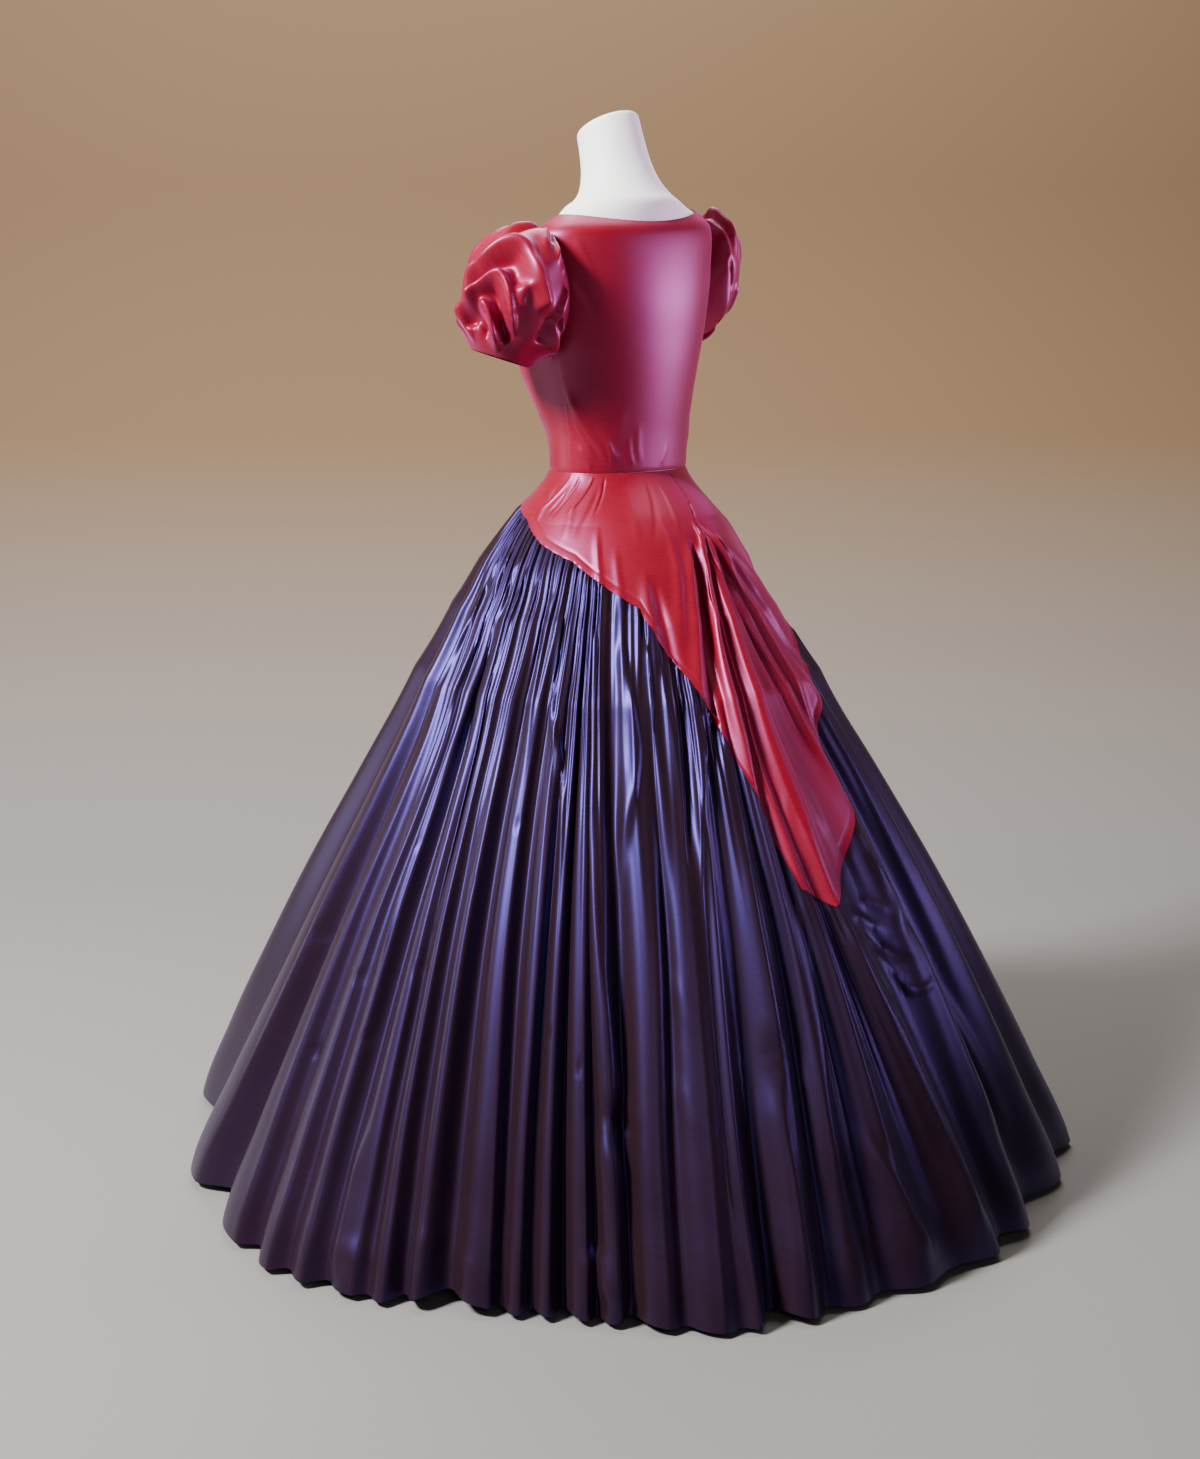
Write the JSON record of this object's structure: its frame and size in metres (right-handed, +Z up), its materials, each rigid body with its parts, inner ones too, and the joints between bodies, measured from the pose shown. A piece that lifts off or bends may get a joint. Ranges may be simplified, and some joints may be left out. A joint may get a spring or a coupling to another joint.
{
  "type": "evening gown on a dress form",
  "caption": "Floor-length gown with draped sleeves, a slanting pleated basque and a full gathered skirt, filled out on a limbless dress form that stands by itself.",
  "frame": {"origin": "centre of the base plate's underside, on the floor under the form's pole", "axes": "+Z up; the gown's front faces -Y and its wearer's left side is at +X"},
  "size_m": [1.3959, 1.3834, 1.5614],
  "materials": {
    "red_taffeta": "shot silk taffeta, red crossed with pink and lilac, crisp and lustrous",
    "purple_taffeta": "shot silk taffeta, aubergine brown crossed with periwinkle blue, crisp and lustrous",
    "form_white": "smooth matt white"
  },
  "bodies": {
    "root": {"bodice_back": "red_taffeta", "bodice_front": "red_taffeta", "sleeve_left": "red_taffeta", "sleeve_right": "red_taffeta", "basque_back_left": "red_taffeta", "basque_back_right": "red_taffeta", "basque_front": "red_taffeta", "skirt_panel_1": "purple_taffeta", "skirt_panel_2": "purple_taffeta", "skirt_panel_3": "purple_taffeta", "skirt_panel_4": "purple_taffeta", "skirt_panel_5": "purple_taffeta", "skirt_panel_6": "purple_taffeta", "skirt_panel_7": "purple_taffeta", "skirt_panel_8": "purple_taffeta", "form_torso": "form_white", "form_pole": "form_white", "form_base": "form_white"}
  },
  "joints": []
}
